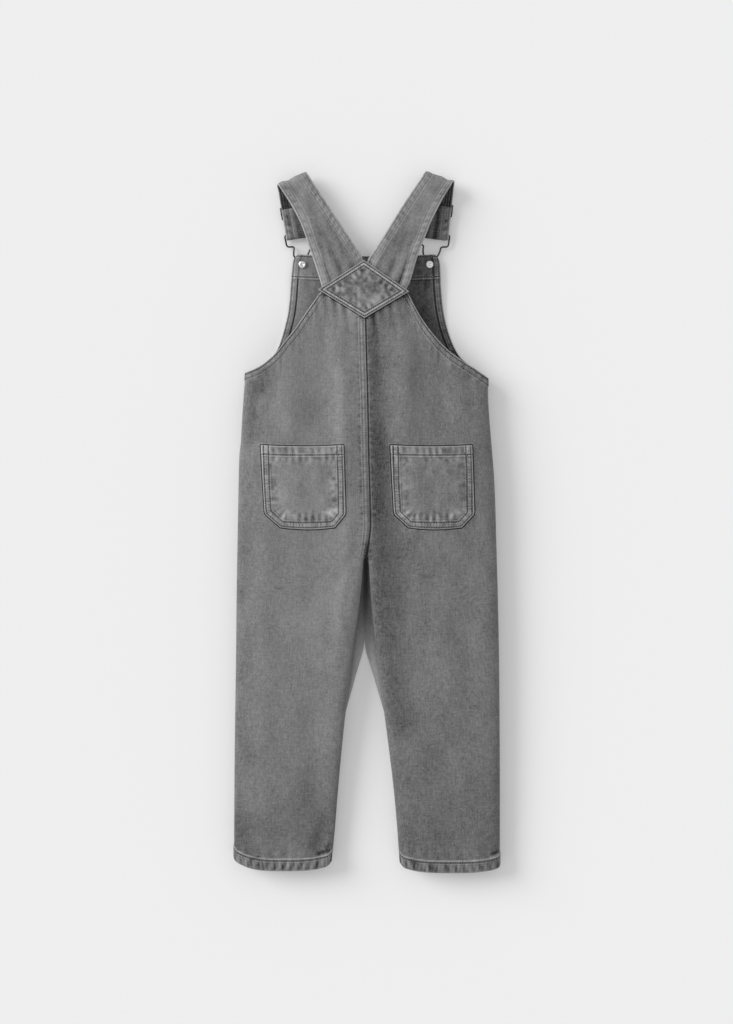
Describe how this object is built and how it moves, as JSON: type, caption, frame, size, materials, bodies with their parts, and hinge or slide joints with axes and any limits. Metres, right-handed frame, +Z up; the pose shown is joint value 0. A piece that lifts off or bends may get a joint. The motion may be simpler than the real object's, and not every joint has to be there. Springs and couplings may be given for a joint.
{
  "type": "dungarees",
  "caption": "Child's bib dungarees in washed denim, laid flat back up, with patch pockets, a diamond yoke and buckled straps.",
  "frame": {"origin": "middle of the underside of the whole garment, on the surface that it lies on", "axes": "+Y from the hems to the shoulders, +X to the right seen from above, +Z up through the back"},
  "size_m": [0.3209, 0.8401, 0.0377],
  "materials": {
    "denim": "washed grey denim twill",
    "dark_steel": "dark plated wire and sheet",
    "nickel": "bright nickel plate"
  },
  "bodies": {
    "root": {"back_left": "denim", "back_right": "denim", "front_left": "denim", "front_right": "denim", "bib": "denim", "yoke": "denim", "pocket_left": "denim", "pocket_right": "denim", "strap_left": "denim", "strap_right": "denim", "slider_left": "dark_steel", "slider_right": "dark_steel", "buckle_left": "dark_steel", "buckle_right": "dark_steel", "button_left": "nickel", "button_right": "nickel", "tack_left": "nickel", "tack_right": "nickel"}
  },
  "joints": []
}
